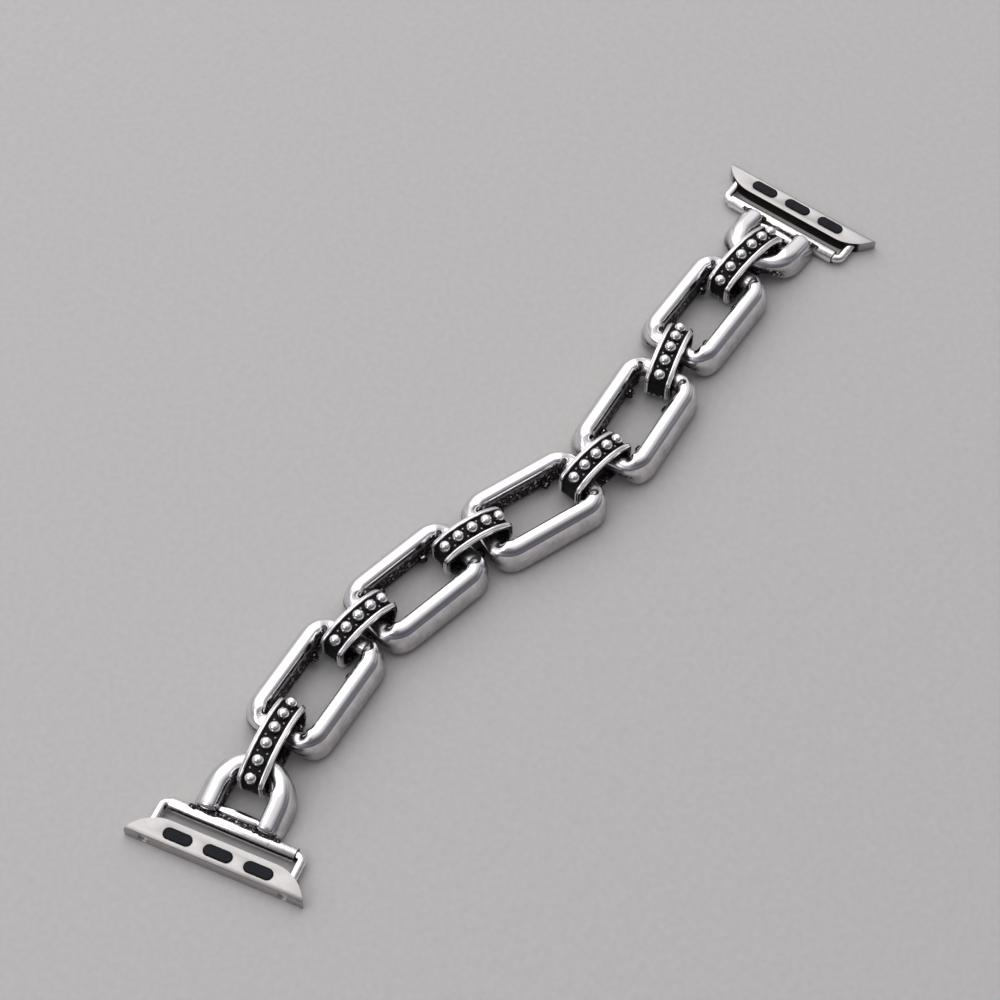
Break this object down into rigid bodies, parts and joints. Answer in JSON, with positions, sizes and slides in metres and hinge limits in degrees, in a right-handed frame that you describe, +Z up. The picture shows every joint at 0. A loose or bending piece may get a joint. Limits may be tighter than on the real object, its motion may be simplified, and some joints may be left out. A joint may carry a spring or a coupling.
{
  "type": "stretch chain watch band",
  "caption": "Metal chain watch band of faceted oblong links joined by beaded elastic connectors, with a hinged slide-in lug at each end.",
  "frame": {"origin": "middle of the underside of the first lug plate, lug_plate_a", "axes": "+X runs from the first lug to the second along the loosely curved band, +Z up through the face that shows when worn"},
  "size_m": [0.1714, 0.0335, 0.0092],
  "materials": {
    "polished_silver": "polished antique silver plate on cast zinc alloy",
    "antique_silver": "silver plate with a blackened channel",
    "plate_steel": "fine satin with polished edges",
    "bright_steel": "bright drawn wire and tube",
    "spring_steel": "plain spring wire",
    "pad_rubber": "matt black rubber",
    "elastic_cord": "black elastic"
  },
  "bodies": {
    "lug_a": {"lug_plate_a": "plate_steel", "side_pads_a": "pad_rubber", "latch_spring_a": "spring_steel", "bail_a": "bright_steel"},
    "latch_a": {"latch_a": "pad_rubber"},
    "hoop_a": {"hinge_tube_a": "bright_steel", "hoop_a": "polished_silver"},
    "connector_1": {"connector_1": "antique_silver"},
    "elastic_1": {"elastic_1": "elastic_cord"},
    "link_1": {"link_1": "polished_silver"},
    "connector_2": {"connector_2": "antique_silver"},
    "elastic_2": {"elastic_2": "elastic_cord"},
    "link_2": {"link_2": "polished_silver"},
    "connector_3": {"connector_3": "antique_silver"},
    "elastic_3": {"elastic_3": "elastic_cord"},
    "link_3": {"link_3": "polished_silver"},
    "connector_4": {"connector_4": "antique_silver"},
    "elastic_4": {"elastic_4": "elastic_cord"},
    "link_4": {"link_4": "polished_silver"},
    "connector_5": {"connector_5": "antique_silver"},
    "elastic_5": {"elastic_5": "elastic_cord"},
    "link_5": {"link_5": "polished_silver"},
    "connector_6": {"connector_6": "antique_silver"},
    "elastic_6": {"elastic_6": "elastic_cord"},
    "hoop_b": {"hinge_tube_b": "bright_steel", "hoop_b": "polished_silver"},
    "lug_b": {"lug_plate_b": "plate_steel", "side_pads_b": "pad_rubber", "latch_spring_b": "spring_steel", "bail_b": "bright_steel"},
    "latch_b": {"latch_b": "pad_rubber"}
  },
  "joints": [
    {"name": "latch_a_press", "type": "slide", "parent": "lug_a", "child": "latch_a", "axis": [0, 0, 1], "range_m": [-0.0004, 0], "stiffness_N_per_m": 400, "deforming": ["latch_spring_a"]},
    {"name": "lug_a_hinge", "type": "hinge", "parent": "lug_a", "child": "hoop_a", "pos_m": [0.00494, 0.00128, 0.0012], "axis": [0.2504, -0.9681, 0], "range_deg": [-75, 70]},
    {"name": "connector_1_swing", "type": "hinge", "parent": "hoop_a", "child": "connector_1", "pos_m": [0.01548, 0.004, 0.0036], "axis": [0.2504, -0.9681, 0], "range_deg": [-35, 35]},
    {"name": "connector_1_stretch", "type": "slide", "parent": "connector_1", "child": "elastic_1", "axis": [0.9681, 0.2504, 0], "range_m": [-0.001, 0.0015], "stiffness_N_per_m": 250, "deforming": ["elastic_1"]},
    {"name": "link_1_swing", "type": "hinge", "parent": "elastic_1", "child": "link_1", "pos_m": [0.02168, 0.00561, 0.00345], "axis": [-0.1219, 0.9925, 0], "range_deg": [-35, 35]},
    {"name": "connector_2_swing", "type": "hinge", "parent": "link_1", "child": "connector_2", "pos_m": [0.04172, 0.00807, 0.00345], "axis": [0.1219, -0.9925, 0], "range_deg": [-35, 35]},
    {"name": "connector_2_stretch", "type": "slide", "parent": "connector_2", "child": "elastic_2", "axis": [0.9962, -0.0872, 0], "range_m": [0, 0.001], "stiffness_N_per_m": 250, "deforming": ["elastic_2"]},
    {"name": "link_2_swing", "type": "hinge", "parent": "elastic_2", "child": "link_2", "pos_m": [0.04661, 0.00764, 0.00345], "axis": [0.1564, 0.9877, 0], "range_deg": [-35, 35]},
    {"name": "connector_3_swing", "type": "hinge", "parent": "link_2", "child": "connector_3", "pos_m": [0.06656, 0.00448, 0.00345], "axis": [-0.1564, -0.9877, 0], "range_deg": [-35, 35]},
    {"name": "connector_3_stretch", "type": "slide", "parent": "connector_3", "child": "elastic_3", "axis": [0.9511, -0.309, 0], "range_m": [0, 0.0011], "stiffness_N_per_m": 250, "deforming": ["elastic_3"]},
    {"name": "link_3_swing", "type": "hinge", "parent": "elastic_3", "child": "link_3", "pos_m": [0.07112, 0.003, 0.00345], "axis": [0.3173, 0.9483, 0], "range_deg": [-35, 35]},
    {"name": "connector_4_swing", "type": "hinge", "parent": "link_3", "child": "connector_4", "pos_m": [0.09028, -0.00341, 0.00345], "axis": [-0.3173, -0.9483, 0], "range_deg": [-35, 35]},
    {"name": "connector_4_stretch", "type": "slide", "parent": "connector_4", "child": "elastic_4", "axis": [0.9954, -0.0958, 0], "range_m": [-0.0005, 0.0002], "stiffness_N_per_m": 250, "deforming": ["elastic_4"]},
    {"name": "link_4_swing", "type": "hinge", "parent": "elastic_4", "child": "link_4", "pos_m": [0.09625, -0.00399, 0.00345], "axis": [-0.1305, 0.9914, 0], "range_deg": [-35, 35]},
    {"name": "connector_5_swing", "type": "hinge", "parent": "link_4", "child": "connector_5", "pos_m": [0.11628, -0.00135, 0.00345], "axis": [0.1305, -0.9914, 0], "range_deg": [-35, 35]},
    {"name": "connector_5_stretch", "type": "slide", "parent": "connector_5", "child": "elastic_5", "axis": [0.9588, 0.284, 0], "range_m": [-0.0005, 0.0002], "stiffness_N_per_m": 250, "deforming": ["elastic_5"]},
    {"name": "link_5_swing", "type": "hinge", "parent": "elastic_5", "child": "link_5", "pos_m": [0.12203, 0.00035, 0.00345], "axis": [-0.061, 0.9981, 0], "range_deg": [-35, 35]},
    {"name": "connector_6_swing", "type": "hinge", "parent": "link_5", "child": "connector_6", "pos_m": [0.14219, 0.00159, 0.00345], "axis": [0.061, -0.9981, 0], "range_deg": [-35, 35]},
    {"name": "connector_6_stretch", "type": "slide", "parent": "connector_6", "child": "elastic_6", "axis": [0.9986, -0.0523, 0], "range_m": [0, 0.0015], "stiffness_N_per_m": 250, "deforming": ["elastic_6"]},
    {"name": "hoop_b_swing", "type": "hinge", "parent": "elastic_6", "child": "hoop_b", "pos_m": [0.14679, 0.00135, 0.0036], "axis": [-0.0349, 0.9994, 0], "range_deg": [-35, 35]},
    {"name": "lug_b_hinge", "type": "hinge", "parent": "hoop_b", "child": "lug_b", "pos_m": [0.15767, 0.00173, 0.0012], "axis": [-0.0349, 0.9994, 0], "range_deg": [-70, 75]},
    {"name": "latch_b_press", "type": "slide", "parent": "lug_b", "child": "latch_b", "axis": [0, 0, 1], "range_m": [-0.0004, 0], "stiffness_N_per_m": 400, "deforming": ["latch_spring_b"]}
  ]
}
